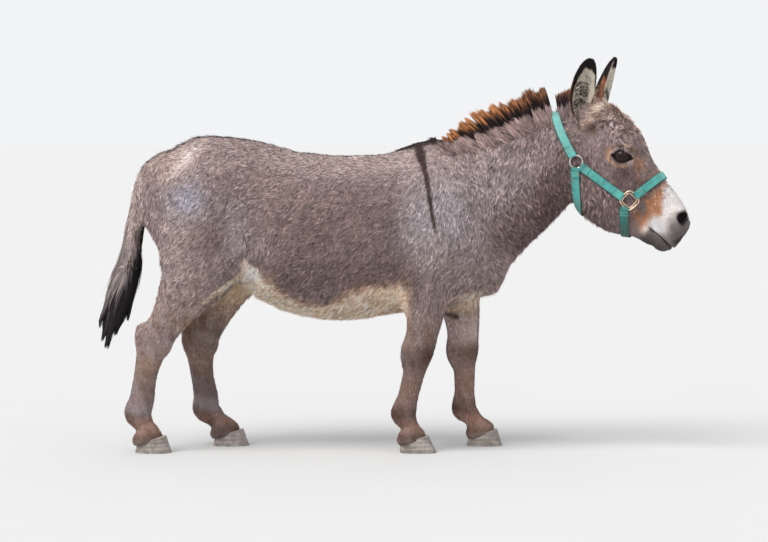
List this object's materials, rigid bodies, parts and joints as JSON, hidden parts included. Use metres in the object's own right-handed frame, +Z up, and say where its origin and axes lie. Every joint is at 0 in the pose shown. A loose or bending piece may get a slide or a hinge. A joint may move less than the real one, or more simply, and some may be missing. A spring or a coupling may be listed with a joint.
{
  "type": "donkey model",
  "caption": "Standing grey-dun donkey with upright mane, long ears and tufted tail, head turned a little aside, wearing a webbing halter; a still, life-size model.",
  "frame": {"origin": "on the floor, under the middle of the model's box", "axes": "+X towards the nose, +Y towards the donkey's left side, +Z up"},
  "size_m": [1.765, 0.3994, 1.1795],
  "materials": {
    "coat": "short dense fur, grey-dun",
    "mane_hair": "stiff upright hair, black-brown at the root with orange-brown tips",
    "tail_hair": "long coarse hair, black-brown",
    "hoof": "matt horn with growth rings",
    "eye": "wet gloss",
    "halter_webbing": "woven webbing, turquoise, worn",
    "halter_steel": "plated wire, slightly dull",
    "halter_brass": "pale cast metal, worn"
  },
  "bodies": {
    "root": {"ear_left": "coat", "ear_right": "coat", "eye_left": "eye", "eye_right": "eye", "foreleg_lower_left": "coat", "foreleg_lower_right": "coat", "foreleg_upper_left": "coat", "foreleg_upper_right": "coat", "forelock": "mane_hair", "halter_cheek_left": "halter_webbing", "halter_cheek_right": "halter_webbing", "halter_chin": "halter_webbing", "halter_crown": "halter_webbing", "halter_noseband": "halter_webbing", "halter_ring_left": "halter_steel", "halter_ring_right": "halter_steel", "halter_square_left": "halter_brass", "halter_square_right": "halter_brass", "halter_throat": "halter_webbing", "head": "coat", "hindleg_lower_left": "coat", "hindleg_lower_right": "coat", "hindleg_upper_left": "coat", "hindleg_upper_right": "coat", "hoof_fore_left": "hoof", "hoof_fore_right": "hoof", "hoof_hind_left": "hoof", "hoof_hind_right": "hoof", "mane": "mane_hair", "neck": "coat", "tail_dock": "coat", "tail_switch": "tail_hair", "torso": "coat"}
  },
  "joints": []
}
